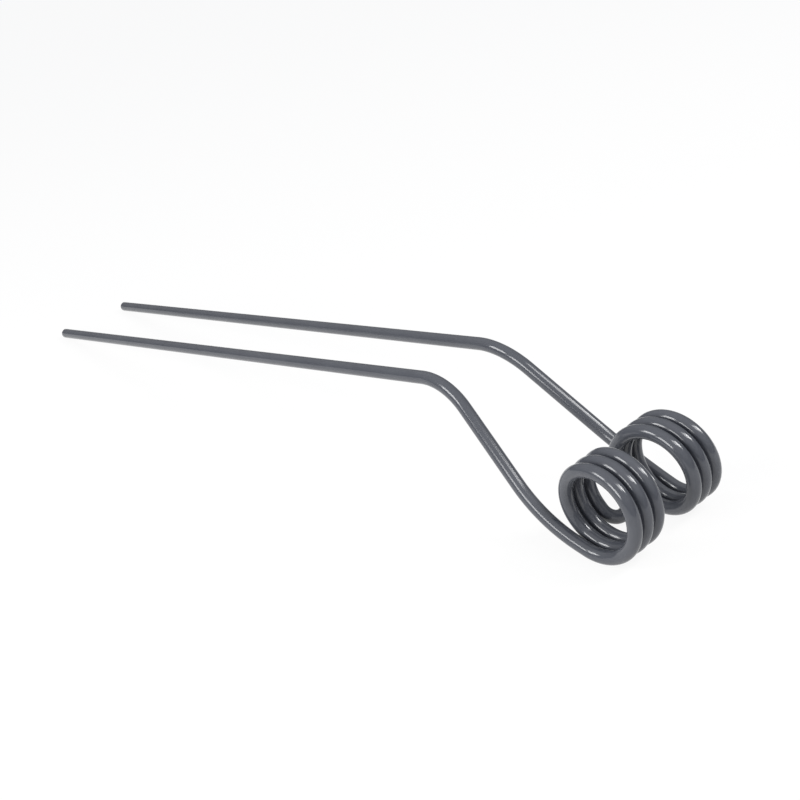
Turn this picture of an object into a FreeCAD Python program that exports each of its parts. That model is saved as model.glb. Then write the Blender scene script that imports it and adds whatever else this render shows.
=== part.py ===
# Belt rake tine: one length of round spring steel wire, bent into a pair of raking arms.
#
# Each arm runs back from its square-cut tip, turns down at the upper bend into a steep
# leg, eases out of the leg at the lower bend and winds up in a close coil. The two coils
# are mirror images and share one axis, and the wire crosses between their inner ends in
# a round loop, where the tine is clamped to its bar.
#
# The tine is drawn about its coil axis, which is Y, with the arms towards -X. Only the
# half at +Y is drawn: first its centre line, as a wire bender makes it, in straight runs
# and bends that each start where the last one ends, then the wire along it. The finished
# tine lies on a level floor, on the undersides of its coils and tips, with Z up and the
# middle of its outline over the origin.

import FreeCAD, Part
import os
import Sketcher

NODE = "tine"
PARTS = "parts"

# Driving sizes, in millimetres, degrees and turns
SIZES = [
    ("WireDiameter", 6.0, "round spring wire"),
    ("CoilBore", 30.0, "clear width inside a coil"),
    ("CoilTurns", 2.9, "turns in each coil"),
    ("TurnGap", 0.65, "clear gap between one turn and the next"),
    ("CoilGap", 9.8, "clear gap between the inner ends of the two coils"),
    ("LoopLeg", 1.7, "straight run from a coil's inner end to the loop"),
    ("LeaveAngle", 27.1, "from the underside of a coil round to where the arm's wire leaves it"),
    ("LeadLength", 3.5, "straight run where the wire leaves the coil"),
    ("LowerRadius", 85.5, "inside radius of the gentle bend below the leg"),
    ("LowerTurn", 23.4, "how far the lower bend turns the wire"),
    ("LowerRoll", -30.7, "the lower bend's plane, rolled about the wire from the coil's"),
    ("LegLength", 39.3, "straight run of the steep leg"),
    ("UpperRadius", 31.8, "inside radius of the bend above the leg"),
    ("UpperTurn", 47.3, "how far the upper bend turns the wire"),
    ("UpperRoll", 200.7, "the upper bend's plane, rolled about the wire from the lower one's"),
    ("ArmLength", 360.0, "straight run of an arm, from the upper bend to the tip"),
    ("TipRounding", 0.5, "rounded edge of the square-cut tip"),
]

# Sizes that follow from the driving ones
DERIVED = [
    ("CoilRadius", "=(CoilBore + WireDiameter) / 2", "coil axis to wire centre"),
    ("CoilReach", "=CoilBore / 2 + WireDiameter", "coil axis to the outside of the coil"),
    ("Pitch", "=WireDiameter + TurnGap", "from one turn to the next"),
    ("CoilWidth", "=Pitch * CoilTurns", "between the wire centres at the coil's ends"),
    ("HelixAngle", "=atan(Pitch / (2 * pi * CoilRadius))", "slope of the turns"),
    ("InnerEnd", "=(CoilGap + WireDiameter) / 2", "mid-plane to the coil's inner end"),
    ("OuterEnd", "=InnerEnd + CoilWidth", "mid-plane to the coil's outer end"),
    ("StartAngle", "=-90 - LeaveAngle", "outer end of the coil, round its axis from +X to +Z"),
    ("EndAngle", "=StartAngle + 360 * CoilTurns", "inner end of the coil"),
    (
        "LoopRadius",
        "=(InnerEnd - LoopLeg * sin(HelixAngle)) / cos(HelixAngle)",
        "wire centre, so that half the loop ends squarely on the mid-plane",
    ),
    ("LoopTurn", "=90 deg - HelixAngle", "how far half the loop turns the wire"),
    (
        "LoopDrop",
        "=LoopLeg * cos(HelixAngle) + LoopRadius * (1 - sin(HelixAngle))",
        "from the coil's inner end to the loop's middle",
    ),
    ("LoopX", "=CoilRadius * cos(EndAngle) - LoopDrop * sin(EndAngle)", "the loop's middle"),
    ("LoopZ", "=CoilRadius * sin(EndAngle) + LoopDrop * cos(EndAngle)", "the loop's middle"),
    ("LowerBendRadius", "=LowerRadius + WireDiameter / 2", "wire centre"),
    ("UpperBendRadius", "=UpperRadius + WireDiameter / 2", "wire centre"),
]

# How the tine lies: it tips about its coil axis until the tips and the coils touch a floor
LYING = [
    ("TipX", "=arm_line.Shape.Vertex2.X", "middle of the tip"),
    ("TipZ", "=arm_line.Shape.Vertex2.Z", "middle of the tip"),
    (
        "ArmSlope",
        "=atan2(TipZ - arm_line.Shape.Vertex1.Z; arm_line.Shape.Vertex1.X - TipX)",
        "how far the arm climbs from the bend to its tip",
    ),
    ("EdgeRise", "=Sizes.WireDiameter / 2 - Sizes.TipRounding", "wire centre to the rounding's"),
    (
        "EdgeX",
        "=TipX + Sizes.TipRounding * cos(ArmSlope) - EdgeRise * sin(ArmSlope)",
        "centre of the rounding at the tip's underside",
    ),
    (
        "EdgeZ",
        "=TipZ - Sizes.TipRounding * sin(ArmSlope) - EdgeRise * cos(ArmSlope)",
        "centre of the rounding at the tip's underside",
    ),
    ("EdgeReach", "=sqrt(EdgeX * EdgeX + EdgeZ * EdgeZ)", "coil axis to that centre"),
    (
        "Tilt",
        "=atan2(EdgeZ; -EdgeX) + asin((Sizes.CoilReach - Sizes.TipRounding) / EdgeReach)",
        "how far the arms tip down",
    ),
    (
        "FrontX",
        "=EdgeX * cos(Tilt) - EdgeZ * sin(Tilt)"
        " - 2 * EdgeRise * sin(Tilt - ArmSlope) - Sizes.TipRounding",
        "foremost point of the tips, from the coil axis",
    ),
    ("MiddleX", "=(FrontX + Sizes.CoilReach) / 2", "middle of the outline, from the coil axis"),
]

ABOUT_X = "1; 0; 0"
ABOUT_Y = "0; 1; 0"
ABOUT_Z = "0; 0; 1"

doc = FreeCAD.newDocument("belt_rake_tine")


def add_sheet(name, rows):
    """A sheet with each row's name, value and meaning. The name is the value's alias."""
    sheet = doc.addObject("Spreadsheet::Sheet", name)
    for number, (alias, value, meaning) in enumerate(rows, start=1):
        sheet.set(f"A{number}", alias)
        sheet.set(f"B{number}", str(value))
        sheet.set(f"C{number}", meaning)
        sheet.setAlias(f"B{number}", alias)
    doc.recompute()
    return sheet


def move(x="0", y="0", z="0"):
    """A move without a turn, in expression text."""
    return f"placement(vector({x}; {y}; {z}); rotation(vector({ABOUT_Z}); 0))"


def turn(axis, angle):
    """A turn about an axis through the origin, in expression text."""
    return f"placement(vector(0; 0; 0); rotation(vector({axis}); {angle}))"


def line_piece(kind, name, steps):
    """A piece of the centre line, placed by steps that are taken one after the other."""
    piece = doc.addObject(kind, name)
    piece.setExpression("Placement", " * ".join(steps))
    return piece


def add_straight(name, length, start):
    """A straight run along its own +Y. Returns it and the steps to its far end."""
    run = line_piece("Part::Line", name, start)
    run.X2 = 0
    run.Z2 = 0
    run.setExpression("Y2", length)
    return run, [f"{name}.Placement", move(y=length)]


def add_bend(name, radius, angle, roll, start):
    """A bend that sets out along +Y and turns to -X, rolled about +Y. Returns it and its end."""
    arc = line_piece("Part::Circle", name, start + [turn(ABOUT_Y, roll), move(x=f"-{radius}")])
    arc.Angle1 = 0
    arc.setExpression("Radius", radius)
    arc.setExpression("Angle2", angle)
    return arc, [f"{name}.Placement", turn(ABOUT_Z, angle), move(x=radius)]


def add_coil(name):
    """The coil's centre line. Returns it and the steps to its outer and inner ends.

    At each end +X points away from the coil axis and +Y follows the wire out of the coil.
    """
    start = [move(y="Sizes.OuterEnd"), turn(ABOUT_X, "90"), turn(ABOUT_Z, "Sizes.StartAngle")]
    coil = line_piece("Part::Helix", name, start)
    coil.setExpression("Radius", "Sizes.CoilRadius")
    coil.setExpression("Pitch", "Sizes.Pitch")
    coil.setExpression("Height", "Sizes.CoilWidth")
    outer_end = [
        f"{name}.Placement",
        move(x="Sizes.CoilRadius"),
        turn(ABOUT_X, "180 deg + Sizes.HelixAngle"),
    ]
    inner_end = [
        f"{name}.Placement",
        turn(ABOUT_Z, "360 * Sizes.CoilTurns"),
        move(x="Sizes.CoilRadius", z="Sizes.CoilWidth"),
        turn(ABOUT_X, "Sizes.HelixAngle"),
    ]
    return coil, outer_end, inner_end


def add_centre_line():
    """One half of the wire's centre line, from the middle of the loop to the tip."""
    coil, outer_end, inner_end = add_coil("coil_line")
    loop_leg, end = add_straight("loop_leg_line", "Sizes.LoopLeg", inner_end)
    loop, end = add_bend("loop_line", "Sizes.LoopRadius", "Sizes.LoopTurn", "90", end)
    lead, end = add_straight("lead_line", "Sizes.LeadLength", outer_end)
    lower, end = add_bend(
        "lower_bend_line", "Sizes.LowerBendRadius", "Sizes.LowerTurn", "Sizes.LowerRoll", end
    )
    leg, end = add_straight("leg_line", "Sizes.LegLength", end)
    upper, end = add_bend(
        "upper_bend_line", "Sizes.UpperBendRadius", "Sizes.UpperTurn", "Sizes.UpperRoll", end
    )
    arm, end = add_straight("arm_line", "Sizes.ArmLength", end)
    centre_line = doc.addObject("Part::Compound", "centre_line")
    centre_line.Links = [loop, loop_leg, coil, lead, lower, leg, upper, arm]
    return centre_line


def origin_plane(body, role):
    """One of the body's own origin planes."""
    return next(item for item in body.Origin.OriginFeatures if item.Role == role)


def add_wire_section(body, sizes):
    """The wire's round section, where the loop crosses the mid-plane."""
    section = body.newObject("Sketcher::SketchObject", "wire_section")
    section.AttachmentSupport = [(origin_plane(body, "XZ_Plane"), "")]
    section.MapMode = "FlatFace"
    middle = FreeCAD.Vector(sizes.LoopX, sizes.LoopZ, 0)
    normal = FreeCAD.Vector(0, 0, 1)
    section.addGeometry(Part.Circle(middle, normal, sizes.WireDiameter / 2), False)
    section.addConstraint(Sketcher.Constraint("Diameter", 0, sizes.WireDiameter))
    section.addConstraint(Sketcher.Constraint("DistanceX", -1, 1, 0, 3, middle.x))
    section.addConstraint(Sketcher.Constraint("DistanceY", -1, 1, 0, 3, middle.y))
    section.setExpression("Constraints[0]", "Sizes.WireDiameter")
    section.setExpression("Constraints[1]", "Sizes.LoopX")
    section.setExpression("Constraints[2]", "Sizes.LoopZ")
    return section


def add_tine(centre_line, sizes):
    """The whole wire: a pipe along one half of the centre line, with its mirror image."""
    body = doc.addObject("PartDesign::Body", NODE)
    pipe = body.newObject("PartDesign::AdditivePipe", "half_wire")
    pipe.Profile = add_wire_section(body, sizes)
    pipe.Spine = (centre_line, [f"Edge{n + 1}" for n in range(len(centre_line.Shape.Edges))])
    doc.recompute()

    tip_edge = min(range(len(pipe.Shape.Edges)), key=lambda n: pipe.Shape.Edges[n].CenterOfMass.x)
    rounding = body.newObject("PartDesign::Fillet", "tip_rounding")
    rounding.Base = (pipe, [f"Edge{tip_edge + 1}"])
    rounding.setExpression("Radius", "Sizes.TipRounding")
    doc.recompute()

    mirrored = body.newObject("PartDesign::Mirrored", "both_halves")
    mirrored.TransformMode = "Whole shape"
    mirrored.MirrorPlane = (origin_plane(body, "XZ_Plane"), [""])
    body.Tip = mirrored
    return body


sizes = add_sheet("Sizes", SIZES + DERIVED)
centre_line = add_centre_line()
doc.recompute()
lying = add_sheet("Lying", LYING)
tine = add_tine(centre_line, sizes)
laid = [
    move(x="-Lying.MiddleX", z="Sizes.CoilReach"),
    turn("0; -1; 0", "Lying.Tilt"),
]
tine.setExpression("Placement", " * ".join(laid))
doc.recompute()

for item in doc.Objects:
    if "Invalid" in item.State or "Error" in item.State:
        raise RuntimeError(f"{item.Name} failed: {item.getStatusString()}")
if tine.Shape.isNull() or not tine.Shape.isValid() or len(tine.Shape.Solids) != 1:
    raise RuntimeError(f"{tine.Label} is not one valid solid")

os.makedirs(PARTS, exist_ok=True)
tine.Shape.exportStep(os.path.join(PARTS, f"{tine.Label}.step"))
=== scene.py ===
from math import asin, atan, atan2, ceil, cos, degrees, hypot, pi, radians, sin, tan

import bpy
from mathutils import Matrix, Vector


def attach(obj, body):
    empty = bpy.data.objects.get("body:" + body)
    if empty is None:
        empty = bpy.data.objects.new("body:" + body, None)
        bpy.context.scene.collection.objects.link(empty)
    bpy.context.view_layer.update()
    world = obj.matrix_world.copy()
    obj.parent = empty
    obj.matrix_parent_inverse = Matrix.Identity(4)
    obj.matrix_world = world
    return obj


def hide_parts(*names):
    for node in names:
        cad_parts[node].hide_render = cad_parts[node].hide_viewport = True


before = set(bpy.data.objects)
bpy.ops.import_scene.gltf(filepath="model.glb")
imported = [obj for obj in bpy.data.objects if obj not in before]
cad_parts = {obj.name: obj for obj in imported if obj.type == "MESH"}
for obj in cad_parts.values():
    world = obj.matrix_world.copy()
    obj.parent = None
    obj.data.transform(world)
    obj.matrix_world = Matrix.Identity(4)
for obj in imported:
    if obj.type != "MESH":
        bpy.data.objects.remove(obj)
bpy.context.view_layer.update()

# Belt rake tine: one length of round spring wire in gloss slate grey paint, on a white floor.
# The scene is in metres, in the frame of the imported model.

# The wire's sizes, as in the model's own source: millimetres, degrees and turns
MILLIMETRE = 0.001
WIRE = 6.0
COIL_BORE = 30.0
COIL_TURNS = 2.9
TURN_GAP = 0.65
COIL_GAP = 9.8
LOOP_LEG = 1.7
LEAVE_ANGLE = 27.1
LEAD = 3.5
LOWER_RADIUS, LOWER_TURN, LOWER_ROLL = 85.5, 23.4, -30.7
LEG = 39.3
UPPER_RADIUS, UPPER_TURN, UPPER_ROLL = 31.8, 47.3, 200.7
ARM = 360.0
TIP_ROUNDING = 0.5

# The dressed wire's mesh: the sides round it, the longest steps along it in millimetres, the
# steps round a cut end's edge, the rings on the end's flat face as shares of its radius, how many
# millimetres it stays inside the solid's skin, and the step in metres too short to turn it
SIDES = 48
COIL_STEP = 0.9
BEND_STEP = 1.2
STRAIGHT_STEP = 4.0
EDGE_STEPS = 6
FACE_RINGS = (0.35, 0.7, 0.93)
INSIDE_SKIN = 0.04
STANDSTILL = 1e-9

# The photograph's camera: it stands at the coils' end, a little rolled. Places are in metres,
# the roll in degrees, the lens and its sensor in millimetres
CAMERA_AT = (0.47878, -0.30321, 0.27690)
CAMERA_AIM = (0.07662, 0.0, 0.02233)
CAMERA_ROLL = -12.06
CAMERA_LENS = 53.26
CAMERA_SENSOR = 36
CAMERA_NEAREST = 0.01

# The paint's tones and how far from a tip its wear reaches, in metres
PAINT_DARK = (0.054, 0.057, 0.066, 1)
PAINT_LIGHT = (0.066, 0.069, 0.078, 1)
PAINT_FLECK = (0.076, 0.079, 0.088, 1)
BARE_STEEL = (0.028, 0.028, 0.030, 1)
TIP_WEAR = 0.0045

# The paint's noises, each with its scale and its detail, and the span of each that is used
NOISE_ROUGHNESS = 0.55
CLOUD_NOISE, CLOUD_SPAN = (55, 3), (0.3, 0.7)
FLECK_NOISE, FLECK_SPAN = (900, 2), (0.35, 0.65)
WEAR_NOISE, WEAR_SPAN = (1500, 3), (0.40, 0.50)
GLOSS_NOISE, GLOSS_SPAN = (70, 1), (0.3, 0.7)
PEEL_NOISE = (300, 2)

# How strongly the flecks show, the paint's roughness and what the tips add to it, and the
# strength and depth in metres of the orange peel
FLECK_SHARE = 0.2
PAINT_ROUGHNESS = (0.125, 0.145)
TIP_ROUGHNESS = 0.15
PEEL_STRENGTH = 0.02
PEEL_DEPTH = 0.00003

# The white floor and studio, with the strength that the gloss sees at the horizon and overhead
WHITE = (1, 1, 1, 1)
FLOOR_SIZE = 6
FLOOR_COLOUR = (0.88, 0.85, 0.80, 1)
FLOOR_ROUGHNESS = 0.9
FLOOR_WHITE = 0.9
SKY_COLOUR = (0.47, 0.51, 0.60, 1)
GLOSS_SKY = (0.1, 1.0)

# The lamps: compass angle round the tine from -Y towards +X and height above the floor, both to
# the lamp's middle, its angular width and height as seen from the tine, its lean and its radiance
LAMP_TARGET = (0.19, 0.0, 0.03)
LAMP_DISTANCE = 1.2
LAMPS = {
    "key_softbox": (-27, 34, 20, 19, 0, 11.5),
    "fill_softbox": (2, 22, 24, 22, -36, 10.0),
    "rim_softbox": (121, 54, 34, 14, -38, 8.5),
    "rim_core": (138, 43, 16, 15, 0, 12.5),
}


def shift(x=0, y=0, z=0):
    """A move."""
    return Matrix.Translation((x, y, z))


def spin(angle, axis):
    """A turn by that many degrees."""
    return Matrix.Rotation(radians(angle), 4, axis)


def add_straight(route, place, length):
    """Adds a straight run along the wire's +Y to the route, and returns where it ends."""
    count = ceil(length / STRAIGHT_STEP)
    for n in range(1, count + 1):
        route.append((place @ shift(y=length * n / count)).translation)
    return place @ shift(y=length)


def add_bend(route, place, radius, angle, roll):
    """Adds a bend that turns to -X, rolled about the wire, and returns where it ends."""
    centre = place @ spin(roll, "Y") @ shift(x=-radius)
    count = ceil(radius * radians(angle) / BEND_STEP)
    for n in range(1, count + 1):
        end = centre @ spin(angle * n / count, "Z") @ shift(x=radius)
        route.append(end.translation)
    return end


def half_route():
    """One half of the wire's centre line about the coil axis, from the loop's middle to the tip."""
    radius = (COIL_BORE + WIRE) / 2
    pitch = WIRE + TURN_GAP
    width = pitch * COIL_TURNS
    slope = degrees(atan(pitch / (2 * pi * radius)))
    inner = (COIL_GAP + WIRE) / 2
    outer_end = shift(y=inner + width) @ spin(90, "X") @ spin(-90 - LEAVE_ANGLE, "Z")

    def on_coil(share):
        return outer_end @ spin(360 * COIL_TURNS * share, "Z") @ shift(x=radius, z=width * share)

    loop = []
    place = add_straight(loop, on_coil(1) @ spin(slope, "X"), LOOP_LEG)
    loop_radius = (inner - LOOP_LEG * sin(radians(slope))) / cos(radians(slope))
    add_bend(loop, place, loop_radius, 90 - slope, 90)

    count = ceil(2 * pi * radius * COIL_TURNS / COIL_STEP)
    coil = [on_coil(n / count).translation for n in range(count, -1, -1)]

    arm = []
    place = add_straight(arm, on_coil(0) @ spin(180 + slope, "X"), LEAD)
    place = add_bend(arm, place, LOWER_RADIUS + WIRE / 2, LOWER_TURN, LOWER_ROLL)
    place = add_straight(arm, place, LEG)
    place = add_bend(arm, place, UPPER_RADIUS + WIRE / 2, UPPER_TURN, UPPER_ROLL)
    add_straight(arm, place, ARM)
    return loop[::-1] + coil + arm


def lying_place(half):
    """How the tine lies: tipped about its coil axis until its coils and tips touch the floor."""
    tip = half[-1]
    climb = tip - half[-2]
    slope = atan2(climb.z, -climb.x)
    reach = COIL_BORE / 2 + WIRE
    rise = WIRE / 2 - TIP_ROUNDING
    edge_x = tip.x + TIP_ROUNDING * cos(slope) - rise * sin(slope)
    edge_z = tip.z - TIP_ROUNDING * sin(slope) - rise * cos(slope)
    tilt = atan2(edge_z, -edge_x) + asin((reach - TIP_ROUNDING) / hypot(edge_x, edge_z))
    front = edge_x * cos(tilt) - edge_z * sin(tilt)
    front -= 2 * rise * sin(tilt - slope) + TIP_ROUNDING
    return shift(x=-(front + reach) / 2, z=reach) @ Matrix.Rotation(tilt, 4, (0, -1, 0))


def whole_route():
    """The whole centre line in metres, from one tip to the other."""
    half = half_route()
    place = Matrix.Scale(MILLIMETRE, 4) @ lying_place(half)
    mirrored = [Vector((p.x, -p.y, p.z)) for p in half]
    return [place @ p for p in half[:0:-1] + mirrored]


def end_rings(end, neighbour, radius):
    """A square-cut end's rings: out over its flat face, then round its edge to the full wire."""
    inwards = (neighbour - end).normalized()
    tip = end + inwards * (INSIDE_SKIN * MILLIMETRE)
    rounding = TIP_ROUNDING * MILLIMETRE
    face = radius - rounding
    rings = [(tip, face * share) for share in FACE_RINGS]
    for n in range(EDGE_STEPS + 1):
        turned = pi / 2 * n / EDGE_STEPS
        centre = tip + inwards * rounding * (1 - cos(turned))
        rings.append((centre, face + rounding * sin(turned)))
    return rings


def wire_rings(route):
    """The middle and radius of each ring of the wire, from one tip to the other."""
    radius = (WIRE / 2 - INSIDE_SKIN) * MILLIMETRE
    start = end_rings(route[0], route[1], radius)
    finish = end_rings(route[-1], route[-2], radius)
    return start + [(point, radius) for point in route[1:-1]] + finish[::-1]


def wire_vertices(rings, heading):
    """The rings' points, carried along the wire without twisting, between the ends' middles."""
    middles = [centre for centre, size in rings]
    across = heading.orthogonal().normalized()
    vertices = [middles[0]]
    for n, (centre, size) in enumerate(rings):
        ahead = middles[min(n + 1, len(rings) - 1)] - middles[max(n - 1, 0)]
        if ahead.length > STANDSTILL:
            across = heading.rotation_difference(ahead.normalized()) @ across
            heading = ahead.normalized()
        up = heading.cross(across)
        for k in range(SIDES):
            angle = 2 * pi * k / SIDES
            vertices.append(centre + (across * cos(angle) + up * sin(angle)) * size)
    vertices.append(middles[-1])
    return vertices


def wire_faces(last):
    """The faces between the rings and over both ends, where last is the last vertex's number."""
    around = [(k, (k + 1) % SIDES) for k in range(SIDES)]
    faces = [(0, 1 + m, 1 + k) for k, m in around]
    for a in range(1, last - SIDES, SIDES):
        faces += [(a + k, a + m, a + SIDES + m, a + SIDES + k) for k, m in around]
    return faces + [(last - SIDES + k, last - SIDES + m, last) for k, m in around]


def add_object(name, data):
    """An object with that name and data, linked to the scene."""
    thing = bpy.data.objects.new(name, data)
    bpy.context.scene.collection.objects.link(thing)
    return thing


def add_wire(name):
    """The painted wire: a round section along the whole route, with its nearness to a tip."""
    route = whole_route()
    vertices = wire_vertices(wire_rings(route), (route[1] - route[0]).normalized())
    mesh = bpy.data.meshes.new(name)
    mesh.from_pydata(vertices, [], wire_faces(len(vertices) - 1))
    mesh.shade_smooth()
    tips = (route[0], route[-1])
    nearness = mesh.attributes.new("tip_nearness", "FLOAT", "POINT")
    for n, vertex in enumerate(mesh.vertices):
        gap = min((vertex.co - tip).length for tip in tips)
        nearness.data[n].value = max(0.0, 1 - gap / TIP_WEAR)
    return add_object(name, mesh)


def add_node(tree, kind, settings=(), inputs=()):
    """A shader node, with its settings by name and its sockets' values or links by name."""
    node = tree.nodes.new(kind)
    for key, value in dict(settings).items():
        setattr(node, key, value)
    for key, value in dict(inputs).items():
        if isinstance(value, bpy.types.NodeSocket):
            tree.links.new(value, node.inputs[key])
        else:
            node.inputs[key].default_value = value
    return node


def add_noise(tree, place, scale, detail):
    """Noise about the object's own coordinates, as a number from 0 to 1."""
    inputs = {"Vector": place, "Scale": scale, "Detail": detail, "Roughness": NOISE_ROUGHNESS}
    return add_node(tree, "ShaderNodeTexNoise", inputs=inputs).outputs["Fac"]


def add_range(tree, value, span, onto=(0, 1)):
    """The value carried from one span onto another."""
    inputs = {
        "Value": value,
        "From Min": span[0], "From Max": span[1],
        "To Min": onto[0], "To Max": onto[1],
    }
    return add_node(tree, "ShaderNodeMapRange", inputs=inputs).outputs["Result"]


def add_maths(tree, operation, first, second):
    """Two numbers combined."""
    inputs = {0: first, 1: second}
    settings = {"operation": operation}
    return add_node(tree, "ShaderNodeMath", settings, inputs).outputs["Value"]


def add_blend(tree, share, first, second):
    """Two colours mixed by a share from 0 to 1, through the node's colour sockets."""
    inputs = {0: share, 6: first, 7: second}
    settings = {"data_type": "RGBA"}
    return add_node(tree, "ShaderNodeMix", settings, inputs).outputs[2]


def add_seen(tree, light):
    """One for rays from the camera, a reflection or something clear, and nothing for the rest."""
    seen = add_maths(tree, "MAXIMUM", light["Is Camera Ray"], light["Is Glossy Ray"])
    return add_maths(tree, "MAXIMUM", seen, light["Is Transmission Ray"])


def show_mixed(tree, output, share, first, second):
    """Mixes two shaders by a share from 0 to 1 into the tree's output."""
    inputs = {0: share, 1: first, 2: second}
    mixed = add_node(tree, "ShaderNodeMixShader", inputs=inputs).outputs[0]
    tree.links.new(mixed, tree.nodes[output].inputs["Surface"])


def add_paint():
    """Gloss slate paint: faint mottling, a fine orange peel, and worn cut ends."""
    paint = bpy.data.materials.new("slate_paint")
    paint.use_nodes = True
    tree = paint.node_tree
    shader = tree.nodes["Principled BSDF"]
    place = add_node(tree, "ShaderNodeTexCoord").outputs["Object"]
    tip = add_node(tree, "ShaderNodeAttribute", {"attribute_name": "tip_nearness"}).outputs["Fac"]

    cloud = add_range(tree, add_noise(tree, place, *CLOUD_NOISE), CLOUD_SPAN)
    fleck = add_range(tree, add_noise(tree, place, *FLECK_NOISE), FLECK_SPAN, (0, FLECK_SHARE))
    wear = add_maths(tree, "MULTIPLY", tip, add_noise(tree, place, *WEAR_NOISE))
    tone = add_blend(tree, cloud, PAINT_DARK, PAINT_LIGHT)
    tone = add_blend(tree, fleck, tone, PAINT_FLECK)
    tone = add_blend(tree, add_range(tree, wear, WEAR_SPAN), tone, BARE_STEEL)
    tree.links.new(tone, shader.inputs["Base Color"])

    gloss = add_range(tree, add_noise(tree, place, *GLOSS_NOISE), GLOSS_SPAN, PAINT_ROUGHNESS)
    gloss = add_maths(tree, "ADD", gloss, add_maths(tree, "MULTIPLY", tip, TIP_ROUGHNESS))
    tree.links.new(gloss, shader.inputs["Roughness"])

    peel = add_noise(tree, place, *PEEL_NOISE)
    inputs = {"Strength": PEEL_STRENGTH, "Distance": PEEL_DEPTH, "Height": peel}
    bump = add_node(tree, "ShaderNodeBump", inputs=inputs)
    tree.links.new(bump.outputs["Normal"], shader.inputs["Normal"])
    return paint


def add_floor():
    """A white floor, which shows the camera its white and a faint part of the shadow."""
    bpy.ops.mesh.primitive_plane_add(size=FLOOR_SIZE)
    floor = bpy.context.object
    floor.name = "floor"
    material = bpy.data.materials.new("white_floor")
    material.use_nodes = True
    tree = material.node_tree
    shader = tree.nodes["Principled BSDF"]
    shader.inputs["Base Color"].default_value = FLOOR_COLOUR
    shader.inputs["Roughness"].default_value = FLOOR_ROUGHNESS
    shader.inputs["Specular IOR Level"].default_value = 0.0
    light = add_node(tree, "ShaderNodeLightPath").outputs
    share = add_maths(tree, "MULTIPLY", add_seen(tree, light), FLOOR_WHITE)
    white = add_node(tree, "ShaderNodeEmission", inputs={"Color": WHITE}).outputs[0]
    show_mixed(tree, "Material Output", share, shader.outputs[0], white)
    floor.data.materials.append(material)


def add_world():
    """A white studio, which the gloss sees dimmer along the horizon and brightest overhead."""
    world = bpy.data.worlds.new("studio")
    world.use_nodes = True
    tree = world.node_tree
    plain = tree.nodes["Background"]
    plain.inputs["Color"].default_value = SKY_COLOUR
    plain.inputs["Strength"].default_value = 1.0
    light = add_node(tree, "ShaderNodeLightPath").outputs
    heading = add_node(tree, "ShaderNodeTexCoord").outputs["Generated"]
    rise = add_node(tree, "ShaderNodeSeparateXYZ", inputs={"Vector": heading}).outputs["Z"]
    shade = add_range(tree, rise, (0, 1), GLOSS_SKY)
    level = add_maths(tree, "MAXIMUM", shade, light["Is Camera Ray"])
    inputs = {"Color": WHITE, "Strength": level}
    white = add_node(tree, "ShaderNodeBackground", inputs=inputs).outputs[0]
    show_mixed(tree, "World Output", add_seen(tree, light), plain.outputs[0], white)
    bpy.context.scene.world = world


def compass(azimuth, height):
    """The direction to a point that many degrees round from -Y towards +X and up."""
    around, up = radians(azimuth), radians(height)
    return Vector((cos(up) * sin(around), -cos(up) * cos(around), sin(up)))


def add_lamp(name, azimuth, height, wide, tall, lean, radiance):
    """A soft lamp that faces the coils, sized by the angle that it fills as seen from them."""
    lamp = bpy.data.lights.new(name, "AREA")
    lamp.shape = "RECTANGLE"
    lamp.size = 2 * LAMP_DISTANCE * tan(radians(wide / 2))
    lamp.size_y = 2 * LAMP_DISTANCE * tan(radians(tall / 2))
    lamp.energy = radiance * pi * lamp.size * lamp.size_y
    holder = add_object(name, lamp)
    way = compass(azimuth, height)
    faced = (-way).to_track_quat("-Z", "Y").to_matrix().to_4x4()
    place = Vector(LAMP_TARGET) + way * LAMP_DISTANCE
    holder.matrix_world = shift(*place) @ faced @ spin(lean, "Z")
    holder.visible_camera = False


def add_camera():
    """The camera, aimed and then rolled about its line of sight."""
    data = bpy.data.cameras.new("camera")
    data.lens = CAMERA_LENS
    data.sensor_width = CAMERA_SENSOR
    data.clip_start = CAMERA_NEAREST
    camera = add_object("camera", data)
    aim = Vector(CAMERA_AIM) - Vector(CAMERA_AT)
    level = aim.to_track_quat("-Z", "Y").to_matrix().to_4x4()
    camera.matrix_world = shift(*CAMERA_AT) @ level @ spin(CAMERA_ROLL, "Z")
    bpy.context.scene.camera = camera


wire = add_wire("painted_wire")
wire.data.materials.append(add_paint())
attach(wire, "root")
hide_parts("tine")
add_floor()
add_world()
for name, lamp in LAMPS.items():
    add_lamp(name, *lamp)
add_camera()
bpy.context.scene.view_settings.view_transform = "Standard"
